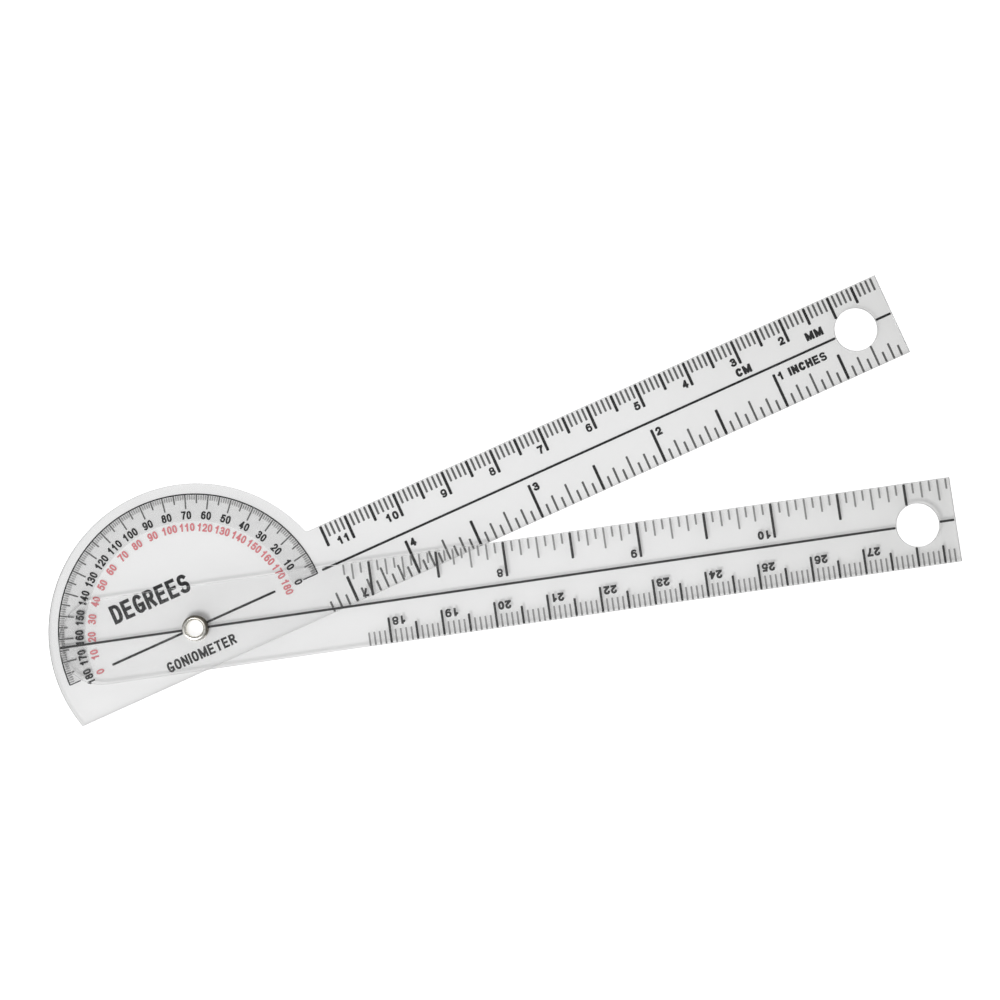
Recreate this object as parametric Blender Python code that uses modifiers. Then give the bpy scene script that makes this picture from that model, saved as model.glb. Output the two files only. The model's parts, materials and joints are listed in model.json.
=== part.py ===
"""Pocket goniometer: two flat clear plastic arms that turn on one hollow metal eyelet.

The protractor arm is the fixed one, with a round head for the degree scale. The pointer arm lies on top
of it. Opened out straight, the two arms make one ruler. X runs along the protractor arm towards its tip,
Z is up, and z = 0 is the surface that the eyelet's back flange stands on. The origin is the middle of the
whole object's box, at its bottom.
"""

import math

import bmesh
import bpy
from mathutils import Vector

MM = 0.001

# Both arms
ARM_LENGTH = 144 * MM  # pivot axis to the square tip
ARM_WIDTH = 16 * MM
PLATE_THICKNESS = 1 * MM
EDGE_BEVEL = 0.1 * MM
HANG_HOLE_RADIUS = 4.08 * MM
HOLE_SEGMENTS = 64
ARC_STEP = math.radians(2)

# Protractor arm
HEAD_RADIUS = 27.6 * MM
HEAD_CENTRE = (-0.12 * MM, -0.37 * MM)  # from the pivot axis
NOTCH_RADIUS = 0.6 * MM  # fillet where the head meets the arm
PROTRACTOR_HOLE = (136.5 * MM, 0.1 * MM)  # its middle, from the pivot axis

# Pointer arm
TAIL_LENGTH = 25.6 * MM  # pivot axis to the far side of the round tail
POINTER_HOLE = (136.85 * MM, -0.1 * MM)
REST_ANGLE = math.radians(-16.2)  # the pointer arm from the protractor arm, at rest

# Eyelet
BORE_RADIUS = 1.5 * MM
BARREL_RADIUS = 1.85 * MM
FLANGE_RADIUS = 2.42 * MM
FRONT_FLANGE_HEIGHT = 0.7 * MM
BACK_FLANGE_HEIGHT = 0.45 * MM
EYELET_SEGMENTS = 64
FLANGE_POINTS = 12  # steps round each flange

# Clearances
BARREL_CLEARANCE = 0.08 * MM  # round the barrel, in both arms
FLANGE_GAP = 0.1 * MM
PLATE_GAP = 0.2 * MM

# Heights, from the bottom up
PROTRACTOR_Z = BACK_FLANGE_HEIGHT + FLANGE_GAP
POINTER_Z = PROTRACTOR_Z + PLATE_THICKNESS + PLATE_GAP
FRONT_FLANGE_Z = POINTER_Z + PLATE_THICKNESS + FLANGE_GAP


def pivot_place():
    """The pivot axis, measured from the middle of the whole object's box."""
    left = HEAD_CENTRE[0] - HEAD_RADIUS
    right = ARM_LENGTH
    top = HEAD_CENTRE[1] + HEAD_RADIUS
    bottom = ARM_LENGTH * math.sin(REST_ANGLE) - ARM_WIDTH / 2 * math.cos(REST_ANGLE)
    return Vector((-(left + right) / 2, -(bottom + top) / 2, 0))


def arc(x, y, radius, start, end):
    """Points on an arc about (x, y), from one angle to the other, in steps of at most ARC_STEP."""
    steps = math.ceil(abs(end - start) / ARC_STEP)
    angles = [start + (end - start) * i / steps for i in range(steps + 1)]
    return [(x + radius * math.cos(a), y + radius * math.sin(a)) for a in angles]


def circle(x, y, radius, steps):
    """Points on a whole circle, without the last one, which would repeat the first."""
    turn = 2 * math.pi / steps
    return [(x + radius * math.cos(i * turn), y + radius * math.sin(i * turn)) for i in range(steps)]


def protractor_outline():
    """A straight arm whose upper edge meets a round head in a fillet; its lower edge is one straight line."""
    half = ARM_WIDTH / 2
    head_x, head_y = HEAD_CENTRE
    rise = half + NOTCH_RADIUS - head_y
    towards_fillet = math.asin(rise / (HEAD_RADIUS + NOTCH_RADIUS))
    fillet_x = head_x + rise / math.tan(towards_fillet)
    corner = math.asin((half + head_y) / HEAD_RADIUS)
    points = [(ARM_LENGTH, -half), (ARM_LENGTH, half)]
    points += arc(fillet_x, half + NOTCH_RADIUS, NOTCH_RADIUS, 1.5 * math.pi, towards_fillet + math.pi)
    points += arc(head_x, head_y, HEAD_RADIUS, towards_fillet, math.pi + corner)
    return points


def pointer_outline():
    """A straight arm with a square tip and a round tail."""
    half = ARM_WIDTH / 2
    tail_x = -(TAIL_LENGTH - half)
    return [(ARM_LENGTH, -half), (ARM_LENGTH, half)] + arc(tail_x, 0, half, 0.5 * math.pi, 1.5 * math.pi)


def arm_holes(hang_hole):
    """The pivot hole and the hole to hang the arm by."""
    return [
        circle(0, 0, BARREL_RADIUS + BARREL_CLEARANCE, HOLE_SEGMENTS),
        circle(*hang_hole, HANG_HOLE_RADIUS, HOLE_SEGMENTS),
    ]


def without_repeats(points):
    """The outline without the points that lie on the one before them."""
    kept = []
    for point in points:
        if not kept or math.dist(point, kept[-1]) > 0.001 * MM:
            kept.append(point)
    return kept


def clear_plastic(name, tint):
    material = bpy.data.materials.new(name)
    material.use_nodes = True
    shader = material.node_tree.nodes["Principled BSDF"]
    shader.inputs["Base Color"].default_value = (*tint, 1)
    shader.inputs["Metallic"].default_value = 0
    shader.inputs["Roughness"].default_value = 0.08
    shader.inputs["Transmission Weight"].default_value = 0.9
    shader.inputs["IOR"].default_value = 1.49
    return material


def nickel_plate():
    material = bpy.data.materials.new("nickel_plate")
    material.use_nodes = True
    shader = material.node_tree.nodes["Principled BSDF"]
    shader.inputs["Base Color"].default_value = (0.78, 0.77, 0.73, 1)
    shader.inputs["Metallic"].default_value = 1
    shader.inputs["Roughness"].default_value = 0.22
    return material


def plate(name, outline, holes, z, parent, material, collection):
    """A flat plate of PLATE_THICKNESS standing on z, with round holes, its edges rounded all round."""
    curve = bpy.data.curves.new(name, "CURVE")
    curve.dimensions = "2D"
    curve.fill_mode = "BOTH"
    curve.extrude = PLATE_THICKNESS / 2 - EDGE_BEVEL
    curve.bevel_depth = EDGE_BEVEL
    curve.bevel_resolution = 1
    curve.offset = -EDGE_BEVEL
    for points in [without_repeats(outline)] + holes:
        spline = curve.splines.new("POLY")
        spline.points.add(len(points) - 1)
        for target, (x, y) in zip(spline.points, points):
            target.co = (x, y, 0, 1)
        spline.use_cyclic_u = True
    flat = bpy.data.objects.new(name + "_outline", curve)
    collection.objects.link(flat)
    depsgraph = bpy.context.evaluated_depsgraph_get()
    mesh = bpy.data.meshes.new_from_object(flat.evaluated_get(depsgraph))
    bpy.data.objects.remove(flat)
    bpy.data.curves.remove(curve)
    weld_caps(mesh)
    mesh.name = name
    mesh.materials.clear()
    mesh.materials.append(material)
    solid = bpy.data.objects.new(name, mesh)
    collection.objects.link(solid)
    solid.parent = parent
    solid.location = (0, 0, z + PLATE_THICKNESS / 2)
    return solid


def weld_caps(mesh):
    """Joins a filled curve's loose caps to its sides, and shades its round edges smooth."""
    shape = bmesh.new()
    shape.from_mesh(mesh)
    bmesh.ops.remove_doubles(shape, verts=shape.verts, dist=0.001 * MM)
    bmesh.ops.recalc_face_normals(shape, faces=shape.faces)
    shape.to_mesh(mesh)
    shape.free()
    mesh.shade_smooth()
    mesh.set_sharp_from_angle(angle=math.radians(20))


def eyelet_profile():
    """The eyelet's closed section as (radius, height): over the front flange, down the barrel, under the
    back flange and up the bore."""
    middle = (BORE_RADIUS + FLANGE_RADIUS) / 2
    reach = (FLANGE_RADIUS - BORE_RADIUS) / 2
    turns = [math.pi * i / FLANGE_POINTS for i in range(FLANGE_POINTS + 1)]
    front = [
        (middle - reach * math.cos(t), FRONT_FLANGE_Z + FRONT_FLANGE_HEIGHT * math.sin(t))
        for t in turns
    ]
    back = [
        (middle + reach * math.cos(t), BACK_FLANGE_HEIGHT * (1 - math.sin(t)))
        for t in turns
    ]
    barrel = [(BARREL_RADIUS, FRONT_FLANGE_Z), (BARREL_RADIUS, BACK_FLANGE_HEIGHT)]
    return front + barrel + back


def eyelet(parent, material, collection):
    points = eyelet_profile()
    mesh = bpy.data.meshes.new("pivot_eyelet")
    edges = [(i, (i + 1) % len(points)) for i in range(len(points))]
    mesh.from_pydata([(r, 0, z) for r, z in points], edges, [])
    mesh.materials.append(material)
    turned = bpy.data.objects.new("pivot_eyelet", mesh)
    collection.objects.link(turned)
    turned.parent = parent
    screw = turned.modifiers.new("turn", "SCREW")
    screw.steps = EYELET_SEGMENTS
    screw.render_steps = EYELET_SEGMENTS
    screw.use_merge_vertices = True
    screw.merge_threshold = 0.00001
    screw.use_smooth_shade = True
    return turned


def empty(name, location, parent, collection):
    found = bpy.data.objects.new(name, None)
    found.location = location
    found.parent = parent
    collection.objects.link(found)
    return found


def main():
    for old in list(bpy.data.objects):
        bpy.data.objects.remove(old)
    collection = bpy.data.collections.new("pocket_goniometer")
    bpy.context.scene.collection.children.link(collection)

    pivot = empty("pivot", pivot_place(), None, collection)
    pointer_pivot = empty("pointer_pivot", (0, 0, 0), pivot, collection)
    pointer_pivot.rotation_euler.z = REST_ANGLE

    plate(
        "protractor_arm", protractor_outline(), arm_holes(PROTRACTOR_HOLE), PROTRACTOR_Z,
        pivot, clear_plastic("protractor_plastic", (0.93, 0.94, 0.94)), collection,
    )
    plate(
        "pointer_arm", pointer_outline(), arm_holes(POINTER_HOLE), POINTER_Z,
        pointer_pivot, clear_plastic("pointer_plastic", (0.9, 0.91, 0.91)), collection,
    )
    eyelet(pivot, nickel_plate(), collection)


main()
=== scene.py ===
import json
import math

import bpy
from mathutils import Matrix, Vector
from mathutils.geometry import delaunay_2d_cdt


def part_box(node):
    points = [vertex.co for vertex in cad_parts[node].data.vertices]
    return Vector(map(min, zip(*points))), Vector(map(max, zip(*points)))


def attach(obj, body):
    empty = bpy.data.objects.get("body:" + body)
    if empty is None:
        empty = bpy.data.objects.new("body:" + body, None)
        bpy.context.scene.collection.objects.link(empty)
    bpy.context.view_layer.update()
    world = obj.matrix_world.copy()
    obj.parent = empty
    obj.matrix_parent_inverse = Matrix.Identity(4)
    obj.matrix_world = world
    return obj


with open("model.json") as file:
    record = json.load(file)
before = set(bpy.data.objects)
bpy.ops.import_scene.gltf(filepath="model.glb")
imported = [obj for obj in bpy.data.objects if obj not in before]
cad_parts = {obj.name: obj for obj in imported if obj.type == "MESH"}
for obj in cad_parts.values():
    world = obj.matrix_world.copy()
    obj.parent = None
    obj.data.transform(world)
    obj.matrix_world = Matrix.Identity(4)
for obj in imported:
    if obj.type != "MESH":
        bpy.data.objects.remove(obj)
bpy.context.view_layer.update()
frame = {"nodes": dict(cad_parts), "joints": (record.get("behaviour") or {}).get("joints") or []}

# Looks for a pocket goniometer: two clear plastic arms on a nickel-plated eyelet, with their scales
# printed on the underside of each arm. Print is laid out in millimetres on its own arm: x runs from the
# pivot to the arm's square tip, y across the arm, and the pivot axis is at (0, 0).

MM = 0.001
INCH = 25.4

# The frame
PIVOT = Vector(frame["joints"][0]["pos_m"])
POINTER_ANGLE = math.radians(-16.2)  # the pointer arm at rest, as it is packed
PROTRACTOR_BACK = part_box("protractor_arm")[0].z
POINTER_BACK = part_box("pointer_arm")[0].z
FLOOR_GAP = 0.01 * MM

# Both arms, in millimetres
ARM_LENGTH = 144
SCALE_EDGE = 7.84  # where ticks start, just inside the bevelled edge
HANG_HOLE_RADIUS = 4.08
PROTRACTOR_HOLE = (136.5, 0.1)
POINTER_HOLE = (136.85, -0.1)
HOLE_MARGIN = 0.12
EYELET_CLEAR = 2.0  # print stops this far from the pivot axis

# Print, in millimetres
INK_THICKNESS = 0.02
INK_GAP = 0.004
CENTRE_LINE = 0.45  # width
LINE_END = 0.15  # how far the centre lines stop short of the tips
PROTRACTOR_LINE_Y = 0.2
PROTRACTOR_LINE_ENDS = (-17.0, 16.4, 26.0)  # it starts, breaks off inside the scale, goes on past it
POINTER_LINE_Y = -0.07
POINTER_LINE_START = -25.5
NUMERAL_HEIGHT = 1.6
NUMERAL_WIDTH = 1.15
STROKE = 0.42
SPACING = 0.17
ROUNDNESS = 2.4  # exponent of the curves that letters are drawn with
UNIT_WORDS = {"height": 1.64, "width": 1.28, "stroke": 0.5, "spacing": 0.18}
UNIT_WORD_PLACES = {"CM": (113.9, 1.8), "MM": (128.95, 2.62), "INCHES": (125.45, -2.0)}
UPPER_LABEL = {"x": -5.6, "y": 8.6, "height": 3.6, "width": 1.98, "stroke": 0.68, "spacing": 0.3}
LOWER_LABEL = {"x": -0.9, "y": -4.7, "height": 2.0, "width": 1.24, "stroke": 0.4, "spacing": 0.22}

# Scales, in millimetres. Widths are a fine tick's and a bold one's. Ends are how far from the arm's middle
# each kind of tick ends: 1 mm, 5 mm and 10 mm, or 1/16, 1/8, 1/4, 1/2 and 1 inch. Spans are the first and
# last ticks, counted in millimetres or sixteenths, and shifts move a whole scale along its arm.
PROTRACTOR_WIDTHS = (0.42, 0.55)
PROTRACTOR_METRIC_ENDS = (5.4, 4.5, 3.2)
PROTRACTOR_METRIC_SPAN = (1, 114)
HEAD_TICK = (115, 3.8)  # the tick nearest the head: its millimetre, and where it ends
PROTRACTOR_INCH_ENDS = (5.8, 4.75, 3.85, 2.8, 1.2)
PROTRACTOR_INCH_SPAN = (1, 75)
PROTRACTOR_INCH_SHIFT = 0.09
POINTER_METRIC_WIDTHS = (0.34, 0.45)
POINTER_METRIC_ENDS = (5.4, 4.5, 3.1)
POINTER_METRIC_SPAN = (176, 287)
POINTER_INCH_WIDTHS = (0.36, 0.5)
POINTER_INCH_ENDS = (5.9, 4.9, 3.9, 2.9, 1.35)
POINTER_INCH_SPAN = (109, 181)
POINTER_INCH_SHIFT = -0.06

# Scale numbers: which are written, then in millimetres how far along the arm from their tick, and where
# across it
PROTRACTOR_CM_NUMBERS = (range(2, 12), -0.66, 3.97)
PROTRACTOR_INCH_NUMBERS = (range(1, 5), 0.65, -2.0)
POINTER_CM_NUMBERS = (range(18, 28), 0.65, -3.9)
POINTER_INCH_NUMBERS = (range(7, 11), -0.7, 2.15)

# Degree scale, in millimetres, from the middle of its circle
RING_CENTRE = (-0.4, 0.0)
RING_RADIUS = 25.4
RING_SPREAD = (-0.15, 0.11)  # of the ring's edges from RING_RADIUS
ZERO_LINE = (22.4, 0.24)  # inner end and width of the line at 0 degrees
LAST_LINE = (23.2, 0.2)  # and at 180 degrees
BAND_INNER = 20.3
BAND_GAP = 0.2  # between the band and RING_RADIUS
TEN_DEGREE_INNER = 22.6
FIVE_DEGREE_INNER = 23.65
ONE_DEGREE_INNER = 24.3
DEGREE_WIDTHS = (0.25, 0.28)  # of a single degree's tick and a 5 or 10 degree one
TICK_GAP = 0.1  # between the ticks and RING_RADIUS
BLACK_NUMBERS_RADIUS = 21.45
BLACK_NUMBERS = {"height": 1.56, "width": 0.9, "stroke": 0.33, "spacing": 0.1}
RED_NUMBERS_RADIUS = 19.15
RED_NUMBERS = {"height": 1.52, "width": 0.88, "stroke": 0.31, "spacing": 0.11}

# Camera, from the pivot axis at z = 0
CAMERA_PLACE = Vector((46.82, -24.36, 482.57)) * MM
CAMERA_TURN = [math.radians(angle) for angle in (3.207, -0.51, -24.383)]
LENS = 92.28  # millimetres, on a sensor 36 wide

# Light
GLOW = 1.6  # the floor's own light, where it is seen directly or in a reflection
BACKDROP = 2.2  # the white wall beyond the paper
LIGHT_POWER = 3.7  # watts
LIGHT_LEAN = math.radians(21)
LIGHT_SIDE = Vector((-0.854, -0.523, 0))  # level direction that the light comes from
LIGHT_DISTANCE = 0.9  # metres
LIGHT_SIZE = 0.26  # metres across

# Room: brightness by direction. Ranges are of the direction's z, or of its dot product with BRIGHT_SIDE.
ROOM_LOW, ROOM_HIGH = 0.17, 0.61  # near the floor and high up
ROOM_RANGE = (0.15, 0.75)
OVERHEAD = 0.4  # the share of it that is left straight overhead, where the camera is
OVERHEAD_RANGE = (0.9, 0.97)
BRIGHT_SIDE = (-0.914, -0.407, 0)  # level direction of the room's bright side
WINDOW = 1.25  # what the bright side adds
WINDOW_RANGE = (0.5, 0.92)

# Floor
FLOOR_REACH = 3.0  # metres, from the middle to each side
FLOOR_COLOURS = ((0.9,) * 3, (0.91,) * 3)

# Textures: lumps a metre for each noise, and how deep each bump is
CLOUD_LUMPS = 90
WAVE_LUMPS, WAVE_DEPTH = 60, 0.02 * MM
SCRATCH_LUMPS, SCRATCH_DEPTH = 420, 0.001 * MM
GRAIN_LUMPS, GRAIN_DEPTH = 5200, 0.004 * MM
TINT_LUMPS = 2600
PATCH_LUMPS = 1500
HAIRLINE_LUMPS, HAIRLINE_DEPTH = 9000, 0.004 * MM
PAPER_LUMPS = 3

# Plastic
CLEAR = ((0.974,) * 3, (0.986,) * 3, (0.993,) * 3)  # cloudy spots, clear ones, and light that gets past
# Painted shade: the plastic is tinted greyer towards each arm's tip, standing in for the weaker light there
TIP_PAINTED_SHADE = (0.895, 0.895, 0.888)
TIP_PAINTED_SHADE_RANGE = (0.09, 0.15)  # from the pivot axis, where it starts and where it is full
# Painted shade: side walls and bevels are tinted darker, standing in for the dark lines along the cut edges
WALL_PAINTED_SHADE = (0.4, 0.41, 0.41)
BEVEL_PAINTED_SHADE = (0.7, 0.7, 0.7)
LIGHT_EDGES = ((0.75,) * 3, (0.55,) * 3)  # light that gets past the lower arm's side walls and bevels
DARK_EDGES = ((0.35,) * 3, (0.12,) * 3)  # and past the upper arm's
EDGE_LEVELS = (0.1, 0.2, 0.95, 0.98)  # of a normal's z: walls end, bevels start, bevels end, flats start
EDGE_ROUGHNESS = 0.35
FACE_ROUGHNESS = (0.02, 0.1)
ACRYLIC_IOR = 1.49

# Inks: darkest colour, lightest colour, and the share of light from lamps and matt surfaces that gets past
BLACK = ((0.008, 0.008, 0.009), (0.02, 0.02, 0.021), 0.9)
UPPER_BLACK = ((0.035, 0.035, 0.036), (0.05, 0.05, 0.051), 0.5)
THIN_BLACK = ((0.1,) * 3, (0.14,) * 3, 0.95)
UPPER_THIN_BLACK = ((0.26,) * 3, (0.31,) * 3, 0.75)
RED = ((0.63, 0.185, 0.205), (0.71, 0.235, 0.255), 0.8)
GREY_TINT = ((0.12,) * 3, (0.2,) * 3, 0.056, 0.068)  # the last two are the least and most that it hides
GREY_TICKS = ((0.05,) * 3, (0.1,) * 3, 0.14, 0.2)
INK_ROUGHNESS = (0.45, 0.65)
INK_SHINE = 0.08

# Nickel
NICKEL_COLOURS = ((0.66, 0.645, 0.6), (0.86, 0.85, 0.81))
NICKEL_ROUGHNESS = (0.16, 0.34)
# Painted shade on the eyelet's rim: darker and duller away from the lower-left side, where the light falls
RIM_PAINTED_SHADE = (2.0 * MM, 2.4 * MM)  # where the rim's painted shade starts and where it is full, from BRIGHT_MIDDLE
BRIGHT_MIDDLE = Vector((-0.3, -0.28, 0)) * MM  # middle of the rim's lit side, where no shade is painted; from the pivot axis
RIM_PAINTED_SHADE_TINT = (0.3, 0.28, 0.25)
RIM_PAINTED_SHADE_ROUGHNESS = 0.6


# ---------------------------------------------------------------- flat shapes


def superellipse(x, y, reach_x, reach_y, start, end, steps=16):
    """Points on a squarish ellipse, by angle in degrees."""
    points = []
    for i in range(steps + 1):
        angle = math.radians(start + (end - start) * i / steps)
        c, s = math.cos(angle), math.sin(angle)
        points.append((
            x + reach_x * math.copysign(abs(c) ** (2 / ROUNDNESS), c),
            y + reach_y * math.copysign(abs(s) ** (2 / ROUNDNESS), s),
        ))
    return points


def turned_over(strokes):
    return [[(1 - x, 1 - y) for x, y in stroke] for stroke in strokes]


SIX = [
    superellipse(0.5, 0.31, 0.5, 0.31, 0, 360, 28),
    superellipse(0.56, 0.52, 0.56, 0.48, 58, 180) + [(0, 0.31)],
]

# Each letter's strokes, on a cell that is 1 wide and 1 high between the middles of its outer strokes
LETTERS = {
    "0": [superellipse(0.5, 0.5, 0.5, 0.5, 0, 360, 32)],
    "1": [[(0.58, 0), (0.58, 1)], [(0.5, 0.93), (0.1, 0.72)]],
    "2": [superellipse(0.5, 0.7, 0.48, 0.3, 168, -28) + [(0.14, 0.1)], [(0, 0), (1, 0)]],
    "3": [
        superellipse(0.45, 0.76, 0.45, 0.24, 155, -60),
        superellipse(0.46, 0.27, 0.54, 0.27, 60, -158),
        [(0.35, 0.53), (0.6, 0.53)],
    ],
    "4": [[(0.7, 0), (0.7, 1)], [(0.62, 0.94), (0.05, 0.36)], [(0, 0.28), (1, 0.28)]],
    "5": [
        [(0.2, 1), (0.9, 1)],
        [(0.2, 1), (0.1, 0.52)],
        superellipse(0.46, 0.32, 0.54, 0.32, 138, -158),
    ],
    "6": SIX,
    "7": [[(0, 1), (1, 1)], [(0.94, 0.94), (0.56, 0.5), (0.38, 0)]],
    "8": [
        superellipse(0.5, 0.765, 0.43, 0.235, 0, 360, 28),
        superellipse(0.5, 0.27, 0.5, 0.27, 0, 360, 28),
    ],
    "9": turned_over(SIX),
    "C": [superellipse(0.5, 0.5, 0.5, 0.5, 48, 312, 24)],
    "D": [
        [(0, 0), (0, 1)],
        [(0, 1), (0.4, 1)] + superellipse(0.45, 0.5, 0.55, 0.5, 90, -90) + [(0.4, 0), (0, 0)],
    ],
    "E": [[(0, 0), (0, 1)], [(0, 1), (0.9, 1)], [(0, 0.52), (0.82, 0.52)], [(0, 0), (0.94, 0)]],
    "G": [superellipse(0.5, 0.5, 0.5, 0.5, 48, 322, 24), [(0.58, 0.42), (1, 0.42)], [(1, 0.4), (1, 0.1)]],
    "H": [[(0, 0), (0, 1)], [(1, 0), (1, 1)], [(0, 0.52), (1, 0.52)]],
    "I": [[(0, 0), (0, 1)]],
    "M": [[(0, 0), (0, 1)], [(0.06, 0.94), (0.5, 0.06)], [(0.94, 0.94), (0.5, 0.06)], [(1, 0), (1, 1)]],
    "N": [[(0, 0), (0, 1)], [(0.06, 0.94), (0.94, 0.06)], [(1, 0), (1, 1)]],
    "O": [superellipse(0.5, 0.5, 0.5, 0.5, 0, 360, 32)],
    "R": [
        [(0, 0), (0, 1)],
        [(0, 1), (0.5, 1)] + superellipse(0.52, 0.76, 0.42, 0.24, 90, -90) + [(0.5, 0.52), (0, 0.52)],
        [(0.5, 0.48), (0.94, 0.04)],
    ],
    "S": [
        superellipse(0.48, 0.75, 0.46, 0.25, 35, 270),
        superellipse(0.5, 0.26, 0.5, 0.26, 90, -148),
    ],
    "T": [[(0.5, 0), (0.5, 1)], [(0, 1), (1, 1)]],
}
WIDE = {"M": 1.3, "I": 0}
# The most that a stroke takes of the height, in characters whose strokes lie close
CROWDED = {"5": 0.245, "6": 0.23, "8": 0.225, "9": 0.23, "S": 0.225, "E": 0.25, "G": 0.25}


def ribbon(points, width):
    """(corners, quads) of a stroke this wide along these points, with square ends."""
    path = [Vector(p) for p in points]
    closed = (path[0] - path[-1]).length < width / 100
    if closed:
        path.pop()
    else:
        path[0] = path[0] + (path[0] - path[1]).normalized() * width / 2
        path[-1] = path[-1] + (path[-1] - path[-2]).normalized() * width / 2
    count = len(path)
    corners = []
    for i, point in enumerate(path):
        before = path[i - 1] if closed or i else None
        after = path[(i + 1) % count] if closed or i + 1 < count else None
        into = (point - before).normalized() if before else (after - point).normalized()
        out = (after - point).normalized() if after else into
        along = (into + out).normalized()
        side = Vector((-along.y, along.x)) * width / 2 / max(along.dot(into), 0.4)
        corners += [point + side, point - side]
    ends = range(count if closed else count - 1)
    quads = [[2 * i, 2 * i + 1, (2 * i + 3) % len(corners), (2 * i + 2) % len(corners)] for i in ends]
    return corners, quads


def merged(shapes):
    """One flat (points, faces) that covers what any of these shapes covers."""
    corners, faces = [], []
    for points, polygons in shapes:
        faces += [[i + len(corners) for i in polygon] for polygon in polygons]
        corners += [Vector(p) for p in points]
    points, _, triangles, _, _, sources = delaunay_2d_cdt(corners, [], faces, 0, 1e-5)
    return points, [list(t) for t, source in zip(triangles, sources) if source]


def letter(character, width, height, stroke):
    strokes = []
    stroke = min(stroke, height * CROWDED.get(character, 1))
    for line in LETTERS[character]:
        scaled = [
            (stroke / 2 + x * (width - stroke), stroke / 2 + y * (height - stroke)) for x, y in line
        ]
        strokes.append(ribbon(scaled, stroke))
    return merged(strokes)


def moved(shape, x, y, turn=0.0):
    """The shape turned about (0, 0), then moved to (x, y)."""
    c, s = math.cos(turn), math.sin(turn)
    points, faces = shape
    return [(x + c * u - s * v, y + s * u + c * v) for u, v in points], faces


def word(
    text, x, y, height=NUMERAL_HEIGHT, width=NUMERAL_WIDTH, stroke=STROKE, spacing=SPACING,
    align=0.5, turn=0.0,
):
    """The letters of a word whose middle height is at y, and whose left end, middle or right end, for align
    0, 0.5 or 1, is at x. turn is about (x, y)."""
    shapes, pen = [], 0.0
    for character in text:
        wide = max(stroke, width * WIDE.get(character, 1))
        shapes.append((letter(character, wide, height, stroke), pen))
        pen += wide + spacing
    start = -align * (pen - spacing)
    return [moved(moved(shape, start + at, -height / 2), x, y, turn) for shape, at in shapes]


def bar(x1, y1, x2, y2, width):
    """A printed line between two points, with slightly rounded corners."""
    start, end = Vector((x1, y1)), Vector((x2, y2))
    along = (end - start).normalized()
    across = Vector((-along.y, along.x))
    reach = (end - start).length / 2
    middle = (start + end) / 2
    corner = width * 0.3
    points = []
    for side_x, side_y, first in ((1, 1, 0), (-1, 1, 90), (-1, -1, 180), (1, -1, 270)):
        for i in range(4):
            angle = math.radians(first + 30 * i)
            u = side_x * (reach - corner) + corner * math.cos(angle)
            v = side_y * (width / 2 - corner) + corner * math.sin(angle)
            points.append(middle + along * u + across * v)
    return points, [list(range(len(points)))]


def ring(x, y, inner, outer, start, end, steps):
    """Part of a flat ring, by angle in degrees."""
    points = []
    for i in range(steps + 1):
        angle = math.radians(start + (end - start) * i / steps)
        for radius in (inner, outer):
            points.append((x + radius * math.cos(angle), y + radius * math.sin(angle)))
    return points, [[2 * i, 2 * i + 1, 2 * i + 3, 2 * i + 2] for i in range(steps)]


# ---------------------------------------------------------------- materials


def new_material(name):
    material = bpy.data.materials.new(name)
    material.use_nodes = True
    nodes = material.node_tree.nodes
    return material, nodes, material.node_tree.links, nodes["Principled BSDF"]


def noise(nodes, links, scale, detail=3.0, stretch=(1, 1, 1), distortion=0.0):
    """A noise that is fixed in the object's own space, with this many lumps a metre."""
    place = nodes.new("ShaderNodeTexCoord")
    mapping = nodes.new("ShaderNodeMapping")
    mapping.inputs["Scale"].default_value = stretch
    links.new(place.outputs["Object"], mapping.inputs["Vector"])
    texture = nodes.new("ShaderNodeTexNoise")
    texture.inputs["Scale"].default_value = scale
    texture.inputs["Detail"].default_value = detail
    texture.inputs["Distortion"].default_value = distortion
    links.new(mapping.outputs["Vector"], texture.inputs["Vector"])
    return texture.outputs["Fac"]


def spread(nodes, links, value, low, high, start=0.3, end=0.7):
    """The value's range from start to end stretched to run from low to high."""
    node = nodes.new("ShaderNodeMapRange")
    for name, number in (("From Min", start), ("From Max", end), ("To Min", low), ("To Max", high)):
        node.inputs[name].default_value = number
    links.new(value, node.inputs["Value"])
    return node.outputs["Result"]


def shades(nodes, links, value, dark, light, start=0.35, end=0.65):
    """A colour between two, by a value."""
    ramp = nodes.new("ShaderNodeValToRGB")
    ramp.color_ramp.elements[0].position = start
    ramp.color_ramp.elements[0].color = (*dark, 1)
    ramp.color_ramp.elements[1].position = end
    ramp.color_ramp.elements[1].color = (*light, 1)
    links.new(value, ramp.inputs["Fac"])
    return ramp.outputs["Color"]


def multiplied(nodes, links, first, second):
    """Two colours multiplied."""
    mix = nodes.new("ShaderNodeMixRGB")
    mix.blend_type = "MULTIPLY"
    mix.inputs["Fac"].default_value = 1
    links.new(first, mix.inputs["Color1"])
    links.new(second, mix.inputs["Color2"])
    return mix.outputs["Color"]


def bump(nodes, links, height, distance, strength, under=None):
    node = nodes.new("ShaderNodeBump")
    node.inputs["Distance"].default_value = distance
    node.inputs["Strength"].default_value = strength
    links.new(height, node.inputs["Height"])
    if under is not None:
        links.new(under, node.inputs["Normal"])
    return node.outputs["Normal"]


def passing_light(nodes, links, shader, open_way):
    """Gives the material its shader, but a see-through one to rays from lamps and from matt surfaces, so
    that what lies under it is lit."""
    path = nodes.new("ShaderNodeLightPath")
    for ray in ("Is Diffuse Ray", "Is Shadow Ray"):
        mix = nodes.new("ShaderNodeMixShader")
        links.new(path.outputs[ray], mix.inputs["Fac"])
        links.new(shader, mix.inputs[1])
        links.new(open_way.outputs["BSDF"], mix.inputs[2])
        shader = mix.outputs["Shader"]
    links.new(shader, nodes["Material Output"].inputs["Surface"])


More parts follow.
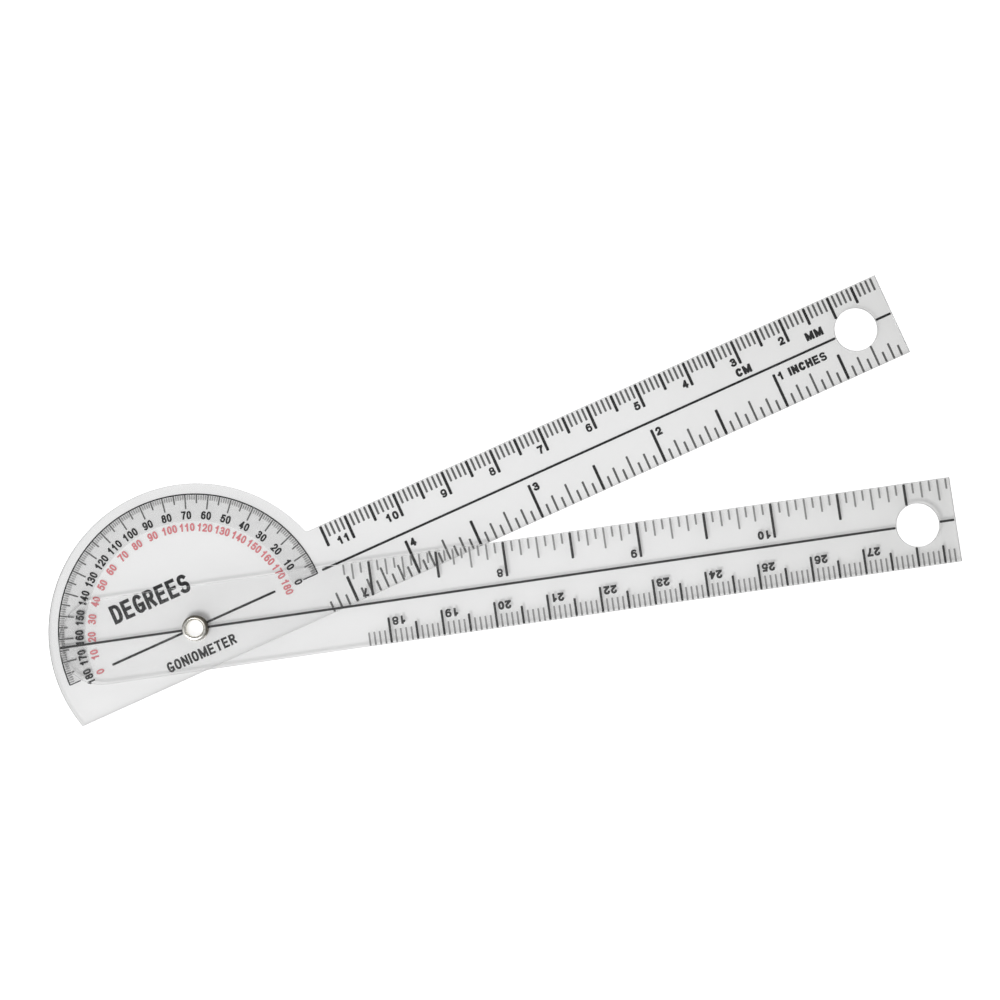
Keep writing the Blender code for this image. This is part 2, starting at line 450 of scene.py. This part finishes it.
def edge_shades(nodes, links, level, wall, bevel, flat):
    """One colour on side walls, one on bevels and one on flat faces, by how level the surface is."""
    ramp = nodes.new("ShaderNodeValToRGB")
    stops = ramp.color_ramp.elements
    wall_end, bevel_start, bevel_end, flat_start = EDGE_LEVELS
    stops[0].position, stops[0].color = wall_end, (*wall, 1)
    stops[1].position, stops[1].color = flat_start, (*flat, 1)
    for position in (bevel_start, bevel_end):
        stops.new(position).color = (*bevel, 1)
    links.new(level, ramp.inputs["Fac"])
    return ramp.outputs["Color"]


def clear_plastic(name, dark, light, shadow, edges):
    """Clear sheet with faint clouding, long soft waves and hairline scratches. Painted shade makes it a
    little greyer towards the arm's tip, where the light is weaker, and darker on its cut edges, which
    are also dull and cast a faint shadow."""
    material, nodes, links, shader = new_material(name)
    place = nodes.new("ShaderNodeTexCoord")
    along = nodes.new("ShaderNodeVectorMath")
    along.operation = "DISTANCE"
    along.inputs[1].default_value = PIVOT
    links.new(place.outputs["Object"], along.inputs[0])
    # painted shade: greyer towards the tip, where the light is weaker
    grey = shades(nodes, links, along.outputs["Value"], (1, 1, 1), TIP_PAINTED_SHADE, *TIP_PAINTED_SHADE_RANGE)
    clouds = shades(nodes, links, noise(nodes, links, CLOUD_LUMPS, 4), dark, light)

    shape = nodes.new("ShaderNodeNewGeometry")
    parts = nodes.new("ShaderNodeSeparateXYZ")
    links.new(shape.outputs["True Normal"], parts.inputs["Vector"])
    level = nodes.new("ShaderNodeMath")
    level.operation = "ABSOLUTE"
    links.new(parts.outputs["Z"], level.inputs[0])
    # painted shade: darker side walls and bevels
    edge = edge_shades(nodes, links, level.outputs["Value"], WALL_PAINTED_SHADE, BEVEL_PAINTED_SHADE, (1, 1, 1))
    tint = multiplied(nodes, links, multiplied(nodes, links, clouds, grey), edge)
    links.new(tint, shader.inputs["Base Color"])

    scuffs = noise(nodes, links, SCRATCH_LUMPS, 5, stretch=(0.12, 1, 1), distortion=0.6)
    rough = nodes.new("ShaderNodeMath")
    rough.operation = "MAXIMUM"
    links.new(spread(nodes, links, scuffs, *FACE_ROUGHNESS), rough.inputs[0])
    links.new(spread(nodes, links, level.outputs["Value"], EDGE_ROUGHNESS, 0, 0.9, 0.98), rough.inputs[1])
    links.new(rough.outputs["Value"], shader.inputs["Roughness"])
    shader.inputs["Transmission Weight"].default_value = 1
    shader.inputs["IOR"].default_value = ACRYLIC_IOR
    waves = bump(nodes, links, noise(nodes, links, WAVE_LUMPS, 1), WAVE_DEPTH, 0.5)
    links.new(bump(nodes, links, scuffs, SCRATCH_DEPTH, 0.3, waves), shader.inputs["Normal"])

    open_way = nodes.new("ShaderNodeBsdfTransparent")
    links.new(
        edge_shades(nodes, links, level.outputs["Value"], *edges, shadow),
        open_way.inputs["Color"],
    )
    passing_light(nodes, links, shader.outputs["BSDF"], open_way)
    return material


def ink(name, dark, light, past):
    """Screen-printed ink: nearly even, with a fine grain in its colour, gloss and surface. This share of the
    light gets past its narrow lines to the table, so its shadow is soft."""
    material, nodes, links, shader = new_material(name)
    grain = noise(nodes, links, GRAIN_LUMPS, 4)
    links.new(shades(nodes, links, grain, dark, light), shader.inputs["Base Color"])
    links.new(spread(nodes, links, grain, *INK_ROUGHNESS), shader.inputs["Roughness"])
    shader.inputs["Specular IOR Level"].default_value = INK_SHINE
    links.new(bump(nodes, links, grain, GRAIN_DEPTH, 0.4), shader.inputs["Normal"])
    open_way = nodes.new("ShaderNodeBsdfTransparent")
    open_way.inputs["Color"].default_value = (past, past, past, 1)
    passing_light(nodes, links, shader.outputs["BSDF"], open_way)
    return material


def see_through_ink(name, dark, light, cover_low, cover_high):
    """A thin tint: it hides a share of what is behind it that varies a little from place to place."""
    material, nodes, links, shader = new_material(name)
    grain = noise(nodes, links, TINT_LUMPS, 4)
    links.new(shades(nodes, links, grain, dark, light), shader.inputs["Base Color"])
    shader.inputs["Roughness"].default_value = 0.6
    open_way = nodes.new("ShaderNodeBsdfTransparent")
    mix = nodes.new("ShaderNodeMixShader")
    links.new(spread(nodes, links, grain, cover_low, cover_high), mix.inputs["Fac"])
    links.new(open_way.outputs["BSDF"], mix.inputs[1])
    links.new(shader.outputs["BSDF"], mix.inputs[2])
    links.new(mix.outputs["Shader"], nodes["Material Output"].inputs["Surface"])
    return material


def nickel_plate(name):
    """Bright plated metal with turned hairlines and small dull patches. Painted shade makes its rim
    darker and duller away from the side that the light comes from.
    """
    material, nodes, links, shader = new_material(name)
    patches = noise(nodes, links, PATCH_LUMPS, 4)
    place = nodes.new("ShaderNodeTexCoord")
    level_place = nodes.new("ShaderNodeVectorMath")
    level_place.operation = "MULTIPLY"
    level_place.inputs[1].default_value = (1, 1, 0)
    links.new(place.outputs["Object"], level_place.inputs[0])
    reach = nodes.new("ShaderNodeVectorMath")
    reach.operation = "DISTANCE"
    reach.inputs[1].default_value = Vector((PIVOT.x, PIVOT.y, 0)) + BRIGHT_MIDDLE
    links.new(level_place.outputs["Vector"], reach.inputs[0])
    # painted shade: the rim darker and duller away from the side that the light comes from
    rim_shade = spread(nodes, links, reach.outputs["Value"], 0, 1, *RIM_PAINTED_SHADE)
    bright = shades(nodes, links, patches, *NICKEL_COLOURS)
    shaded_rim = shades(nodes, links, rim_shade, (1, 1, 1), RIM_PAINTED_SHADE_TINT, 0, 1)
    links.new(multiplied(nodes, links, bright, shaded_rim), shader.inputs["Base Color"])
    shader.inputs["Metallic"].default_value = 1
    rough = nodes.new("ShaderNodeMath")
    rough.operation = "MAXIMUM"
    links.new(spread(nodes, links, patches, *NICKEL_ROUGHNESS), rough.inputs[0])
    links.new(spread(nodes, links, rim_shade, 0, RIM_PAINTED_SHADE_ROUGHNESS, 0, 1), rough.inputs[1])
    links.new(rough.outputs["Value"], shader.inputs["Roughness"])
    lines = noise(nodes, links, HAIRLINE_LUMPS, 3, stretch=(0.25, 0.25, 1.6))
    links.new(bump(nodes, links, lines, HAIRLINE_DEPTH, 0.35), shader.inputs["Normal"])
    return material


# ---------------------------------------------------------------- print


def arm_place(body):
    """The arm's own frame: its origin on the pivot axis, x towards its tip."""
    flat = Vector((PIVOT.x, PIVOT.y, 0))
    turn = POINTER_ANGLE if body == "pointer" else 0
    return Matrix.Translation(flat) @ Matrix.Rotation(turn, 4, "Z")


def ink_piece(name, shapes, body, material, layer=0):
    """A thin solid of ink under an arm's back face, from flat shapes in millimetres on that arm. A higher
    layer is further from the arm."""
    back = (POINTER_BACK if body == "pointer" else PROTRACTOR_BACK) / MM
    top = back - INK_GAP - layer * (INK_THICKNESS + INK_GAP)
    vertices, faces = [], []
    for points, polygons in shapes:
        first, count = len(vertices), len(points)
        vertices += [(x * MM, y * MM, top * MM) for x, y in points]
        vertices += [(x * MM, y * MM, (top - INK_THICKNESS) * MM) for x, y in points]
        used = {(p[i - 1], p[i]) for p in polygons for i in range(len(p))}
        for polygon in polygons:
            faces.append([first + i for i in polygon])
            faces.append([first + count + i for i in reversed(polygon)])
        for a, b in sorted(used):
            if (b, a) not in used:
                faces.append([first + b, first + a, first + count + a, first + count + b])
    mesh = bpy.data.meshes.new(name)
    mesh.from_pydata(vertices, [], faces)
    mesh.validate()
    mesh.materials.append(material)
    piece = bpy.data.objects.new(name, mesh)
    bpy.context.scene.collection.objects.link(piece)
    piece.matrix_world = arm_place(body)
    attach(piece, body)
    return piece


def short_of_hole(x, y, hole):
    """A tick's inner end, drawn back to the hang hole's edge where it would reach into the hole."""
    reach = HANG_HOLE_RADIUS + HOLE_MARGIN
    if abs(x - hole[0]) >= reach:
        return y
    half = math.sqrt(reach**2 - (x - hole[0]) ** 2)
    return max(y, hole[1] + half) if y > 0 else min(y, hole[1] - half)


def ticks(marks, edge, hole):
    """A bar for each (x, inner end's y, width), from the arm's edge inwards."""
    return [bar(x, edge, x, short_of_hole(x, y, hole), width) for x, y, width in marks]


def millimetre_marks(span, place, side, ends, fine, bold):
    """(x, inner end's y, width) of every millimetre in the span, with place giving each one's x."""
    marks = []
    for k in range(span[0], span[1] + 1):
        step = 2 if k % 10 == 0 else 1 if k % 5 == 0 else 0
        marks.append((place(k), side * ends[step], bold if step else fine))
    return marks


def inch_marks(span, place, side, ends, fine, bold):
    """(x, inner end's y, width) of every sixteenth in the span, with place giving an inch's x."""
    marks = []
    for n in range(span[0], span[1] + 1):
        step = next(i for i in (4, 3, 2, 1, 0) if n % 2**i == 0)
        marks.append((place(n / 16), side * ends[step], bold if step > 2 else fine))
    return marks


def by_width(marks, bold):
    """The bold marks, and the others."""
    return [m for m in marks if m[2] == bold], [m for m in marks if m[2] != bold]


def protractor_print(black, thin_black):
    y = PROTRACTOR_LINE_Y
    start, stop, restart = PROTRACTOR_LINE_ENDS
    hole = PROTRACTOR_HOLE
    reach = HANG_HOLE_RADIUS + HOLE_MARGIN
    ink_piece("protractor_centre_line", [
        bar(start, y, -EYELET_CLEAR, y, CENTRE_LINE),
        bar(EYELET_CLEAR, y, stop, y, CENTRE_LINE),
        bar(restart, y, hole[0] - reach, y, CENTRE_LINE),
        bar(hole[0] + reach, y, ARM_LENGTH - LINE_END, y, CENTRE_LINE),
    ], "protractor", black)

    def metric(k):
        return ARM_LENGTH - k

    marks = millimetre_marks(
        PROTRACTOR_METRIC_SPAN, metric, 1, PROTRACTOR_METRIC_ENDS, *PROTRACTOR_WIDTHS,
    )
    marks.append((metric(HEAD_TICK[0]), HEAD_TICK[1], PROTRACTOR_WIDTHS[1]))
    bold, fine = by_width(marks, PROTRACTOR_WIDTHS[1])
    ink_piece("protractor_cm_ticks", ticks(bold, SCALE_EDGE, hole), "protractor", black)
    ink_piece("protractor_mm_ticks", ticks(fine, SCALE_EDGE, hole), "protractor", thin_black)
    numbers = []
    written, shift, across = PROTRACTOR_CM_NUMBERS
    for k in written:
        numbers += word(str(k), metric(10 * k) + shift, across, align=1)
    ink_piece("protractor_cm_numbers", numbers, "protractor", black)

    def imperial(n):
        return ARM_LENGTH + PROTRACTOR_INCH_SHIFT - INCH * n

    marks = inch_marks(PROTRACTOR_INCH_SPAN, imperial, -1, PROTRACTOR_INCH_ENDS, *PROTRACTOR_WIDTHS)
    bold, fine = by_width(marks, PROTRACTOR_WIDTHS[1])
    ink_piece("protractor_inch_ticks", ticks(bold, -SCALE_EDGE, hole), "protractor", black)
    fine_bars = ticks(fine, -SCALE_EDGE, hole)
    ink_piece("protractor_sixteenth_ticks", fine_bars, "protractor", thin_black)
    numbers = []
    written, shift, across = PROTRACTOR_INCH_NUMBERS
    for n in written:
        numbers += word(str(n), imperial(n) + shift, across, align=0)
    ink_piece("protractor_inch_numbers", numbers, "protractor", black)
    words = []
    for text, place in UNIT_WORD_PLACES.items():
        words += word(text, *place, **UNIT_WORDS)
    ink_piece("protractor_unit_words", words, "protractor", black)


def on_circle(radius, angle):
    return RING_CENTRE[0] + radius * math.cos(angle), RING_CENTRE[1] + radius * math.sin(angle)


def degree_scale(black, thin_black, red, grey, fine_grey):
    x, y = RING_CENTRE
    band = [ring(x, y, BAND_INNER, RING_RADIUS - BAND_GAP, 0, 180, 90)]
    ink_piece("degree_band", band, "protractor", grey, 1)
    outline = [ring(x, y, RING_RADIUS + RING_SPREAD[0], RING_RADIUS + RING_SPREAD[1], 0, 180, 120)]
    outline.append(bar(x + ZERO_LINE[0], y, x + RING_RADIUS, y, ZERO_LINE[1]))
    outline.append(bar(x - LAST_LINE[0], y, x - RING_RADIUS, y, LAST_LINE[1]))
    ink_piece("degree_ring", outline, "protractor", black)

    marks, faint = [], []
    for degree in range(1, 180):
        inner = FIVE_DEGREE_INNER if degree % 10 else TEN_DEGREE_INNER
        found, width = marks, DEGREE_WIDTHS[1]
        if degree % 5:
            inner, found, width = ONE_DEGREE_INNER, faint, DEGREE_WIDTHS[0]
        angle = math.radians(degree)
        found.append(bar(*on_circle(inner, angle), *on_circle(RING_RADIUS - TICK_GAP, angle), width))
    ink_piece("degree_ticks", marks, "protractor", thin_black)
    ink_piece("single_degree_ticks", faint, "protractor", fine_grey)

    blacks, reds = [], []
    for degree in range(0, 181, 10):
        angle = math.radians(degree)
        upright = angle - math.pi / 2
        blacks += word(str(degree), *on_circle(BLACK_NUMBERS_RADIUS, angle), turn=upright, **BLACK_NUMBERS)
        reds += word(str(180 - degree), *on_circle(RED_NUMBERS_RADIUS, angle), turn=upright, **RED_NUMBERS)
    ink_piece("degree_numbers", blacks, "protractor", black)
    ink_piece("degree_numbers_reversed", reds, "protractor", red)


def pointer_print(black, thin_black):
    hole = POINTER_HOLE
    reach = HANG_HOLE_RADIUS + HOLE_MARGIN
    y = POINTER_LINE_Y
    ink_piece("pointer_centre_line", [
        bar(POINTER_LINE_START, y, -EYELET_CLEAR, y, CENTRE_LINE),
        bar(EYELET_CLEAR, y, hole[0] - reach, y, CENTRE_LINE),
        bar(hole[0] + reach, y, ARM_LENGTH - LINE_END, y, CENTRE_LINE),
    ], "pointer", black)

    def metric(k):
        return k - ARM_LENGTH

    marks = millimetre_marks(
        POINTER_METRIC_SPAN, metric, -1, POINTER_METRIC_ENDS, *POINTER_METRIC_WIDTHS,
    )
    bold, fine = by_width(marks, POINTER_METRIC_WIDTHS[1])
    ink_piece("pointer_cm_ticks", ticks(bold, -SCALE_EDGE, hole), "pointer", black)
    ink_piece("pointer_mm_ticks", ticks(fine, -SCALE_EDGE, hole), "pointer", thin_black)
    numbers = []
    written, shift, across = POINTER_CM_NUMBERS
    for k in written:
        numbers += word(str(k), metric(10 * k) + shift, across, align=1, turn=math.pi)
    ink_piece("pointer_cm_numbers", numbers, "pointer", black)

    def imperial(n):
        return INCH * n - ARM_LENGTH + POINTER_INCH_SHIFT

    marks = inch_marks(POINTER_INCH_SPAN, imperial, 1, POINTER_INCH_ENDS, *POINTER_INCH_WIDTHS)
    bold, fine = by_width(marks, POINTER_INCH_WIDTHS[1])
    ink_piece("pointer_inch_ticks", ticks(bold, SCALE_EDGE, hole), "pointer", black)
    ink_piece("pointer_sixteenth_ticks", ticks(fine, SCALE_EDGE, hole), "pointer", thin_black)
    numbers = []
    written, shift, across = POINTER_INCH_NUMBERS
    for n in written:
        numbers += word(str(n), imperial(n) + shift, across, align=0, turn=math.pi)
    ink_piece("pointer_inch_numbers", numbers, "pointer", black)


def head_label(black):
    """Two plain generic words on the head."""
    letters = word("DEGREES", **UPPER_LABEL) + word("GONIOMETER", **LOWER_LABEL)
    ink_piece("head_label", letters, "protractor", black)


# ---------------------------------------------------------------- stage


def floor():
    """Pale paper that lights the clear plastic from below. It glows to white where it is seen directly or
    in a reflection, and not through the plastic."""
    mesh = bpy.data.meshes.new("floor")
    corners = [(x * FLOOR_REACH, y * FLOOR_REACH, 0) for x, y in ((-1, -1), (1, -1), (1, 1), (-1, 1))]
    mesh.from_pydata(corners, [], [(0, 1, 2, 3)])
    material, nodes, links, shader = new_material("floor")
    links.new(
        shades(nodes, links, noise(nodes, links, PAPER_LUMPS, 2), *FLOOR_COLOURS),
        shader.inputs["Base Color"],
    )
    shader.inputs["Roughness"].default_value = 0.9
    shader.inputs["Specular IOR Level"].default_value = 0.1
    glow = nodes.new("ShaderNodeEmission")
    glow.inputs["Strength"].default_value = GLOW
    half = nodes.new("ShaderNodeMixShader")
    half.inputs["Fac"].default_value = 0.5
    links.new(shader.outputs["BSDF"], half.inputs[1])
    links.new(glow.outputs["Emission"], half.inputs[2])
    path = nodes.new("ShaderNodeLightPath")
    bare = nodes.new("ShaderNodeMath")
    bare.operation = "MAXIMUM"
    links.new(path.outputs["Is Camera Ray"], bare.inputs[0])
    links.new(path.outputs["Is Reflection Ray"], bare.inputs[1])
    mix = nodes.new("ShaderNodeMixShader")
    links.new(bare.outputs["Value"], mix.inputs["Fac"])
    links.new(shader.outputs["BSDF"], mix.inputs[1])
    links.new(half.outputs["Shader"], mix.inputs[2])
    links.new(mix.outputs["Shader"], nodes["Material Output"].inputs["Surface"])
    mesh.materials.append(material)
    plane = bpy.data.objects.new("floor", mesh)
    plane.location.z = -FLOOR_GAP
    bpy.context.scene.collection.objects.link(plane)


def studio_light():
    """One soft key light from the lower left of the picture, and a room that is brighter on that side."""
    towards = LIGHT_SIDE * math.sin(LIGHT_LEAN) + Vector((0, 0, math.cos(LIGHT_LEAN)))
    data = bpy.data.lights.new("key", "AREA")
    data.shape = "DISK"
    data.size = LIGHT_SIZE
    data.energy = LIGHT_POWER
    key = bpy.data.objects.new("key", data)
    key.location = towards * LIGHT_DISTANCE
    key.rotation_mode = "QUATERNION"
    key.rotation_quaternion = towards.to_track_quat("Z", "Y")
    key.visible_transmission = False
    bpy.context.scene.collection.objects.link(key)

    world = bpy.data.worlds.new("studio")
    world.use_nodes = True
    nodes, links = world.node_tree.nodes, world.node_tree.links
    place = nodes.new("ShaderNodeTexCoord")
    parts = nodes.new("ShaderNodeSeparateXYZ")
    links.new(place.outputs["Generated"], parts.inputs["Vector"])
    overhead = spread(nodes, links, parts.outputs["Z"], 1.0, OVERHEAD, *OVERHEAD_RANGE)
    facing = nodes.new("ShaderNodeVectorMath")
    facing.operation = "DOT_PRODUCT"
    facing.inputs[1].default_value = BRIGHT_SIDE
    links.new(place.outputs["Generated"], facing.inputs[0])
    rising = spread(nodes, links, parts.outputs["Z"], ROOM_LOW, ROOM_HIGH, *ROOM_RANGE)
    window = spread(nodes, links, facing.outputs["Value"], 0, WINDOW, *WINDOW_RANGE)
    strength = nodes.new("ShaderNodeMath")
    strength.operation = "MULTIPLY_ADD"
    links.new(overhead, strength.inputs[0])
    links.new(rising, strength.inputs[1])
    links.new(window, strength.inputs[2])
    room = nodes["Background"]
    room.inputs["Color"].default_value = (1, 1, 1, 1)
    links.new(strength.outputs["Value"], room.inputs["Strength"])
    backdrop = nodes.new("ShaderNodeBackground")
    backdrop.inputs["Strength"].default_value = BACKDROP
    path = nodes.new("ShaderNodeLightPath")
    mix = nodes.new("ShaderNodeMixShader")
    links.new(path.outputs["Is Camera Ray"], mix.inputs["Fac"])
    links.new(room.outputs["Background"], mix.inputs[1])
    links.new(backdrop.outputs["Background"], mix.inputs[2])
    links.new(mix.outputs["Shader"], nodes["World Output"].inputs["Surface"])
    bpy.context.scene.world = world


def camera():
    """The photo's viewpoint, as fitted to the object's own scales."""
    data = bpy.data.cameras.new("camera")
    data.lens = LENS
    data.sensor_width = 36
    data.clip_start = 0.01
    data.clip_end = 20
    viewer = bpy.data.objects.new("camera", data)
    viewer.location = Vector((PIVOT.x, PIVOT.y, 0)) + CAMERA_PLACE
    viewer.rotation_euler = CAMERA_TURN
    bpy.context.scene.collection.objects.link(viewer)
    bpy.context.scene.camera = viewer


def dress(node, material):
    """Gives a CAD node its material."""
    found = frame["nodes"][node]
    found.data.materials.clear()
    found.data.materials.append(material)


def main():
    camera()
    floor()
    studio_light()
    bpy.context.scene.view_settings.view_transform = "Standard"

    dress("protractor_arm", clear_plastic("protractor_plastic", *CLEAR, LIGHT_EDGES))
    dress("pointer_arm", clear_plastic("pointer_plastic", *CLEAR, DARK_EDGES))
    dress("pivot_eyelet", nickel_plate("nickel_plate"))

    black = ink("black_ink", *BLACK)
    upper_black = ink("upper_black_ink", *UPPER_BLACK)
    thin_black = ink("thin_black_ink", *THIN_BLACK)
    upper_thin_black = ink("upper_thin_black_ink", *UPPER_THIN_BLACK)
    red = ink("red_ink", *RED)
    grey = see_through_ink("grey_tint", *GREY_TINT)
    fine_grey = see_through_ink("grey_ticks", *GREY_TICKS)
    protractor_print(black, thin_black)
    degree_scale(black, thin_black, red, grey, fine_grey)
    head_label(black)
    pointer_print(upper_black, upper_thin_black)


main()
